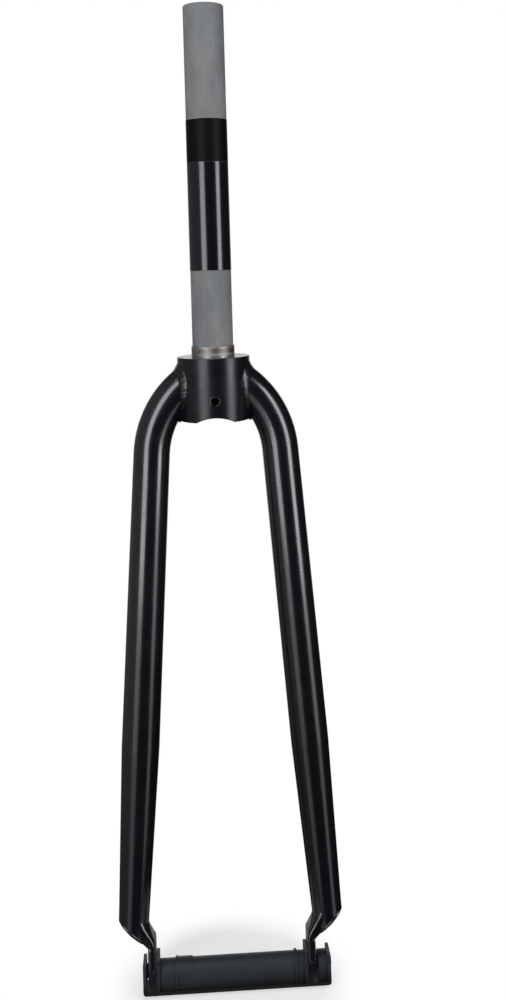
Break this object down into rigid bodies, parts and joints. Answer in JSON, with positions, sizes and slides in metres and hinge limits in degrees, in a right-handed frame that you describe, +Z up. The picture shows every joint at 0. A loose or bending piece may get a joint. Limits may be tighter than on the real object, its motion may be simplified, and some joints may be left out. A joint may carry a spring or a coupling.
{
  "type": "bicycle fork",
  "caption": "Rigid steel bicycle fork with a threadless steerer, turned crown collar, bent and tapered round blades, plug-in dropouts and a plastic fork-end spacer.",
  "frame": {"origin": "centre of the crown collar's top face, at the foot of the crown race seat", "axes": "+Z up the steerer, -Y to the front where the axle is offset, +X to the rider's left"},
  "size_m": [0.1476, 0.0824, 0.6564],
  "materials": {
    "bare_steel": "drawn and brushed, bare, with a black painted band",
    "black_sleeve": "smooth gloss black",
    "painted_steel": "gloss metallic dark grey",
    "spacer_plastic": "moulded satin charcoal"
  },
  "bodies": {
    "root": {"steerer_tube": "bare_steel", "steerer_sleeve": "black_sleeve", "crown_collar": "painted_steel", "fork_blades": "painted_steel", "left_dropout": "painted_steel", "right_dropout": "painted_steel", "fork_end_spacer": "spacer_plastic"}
  },
  "joints": []
}
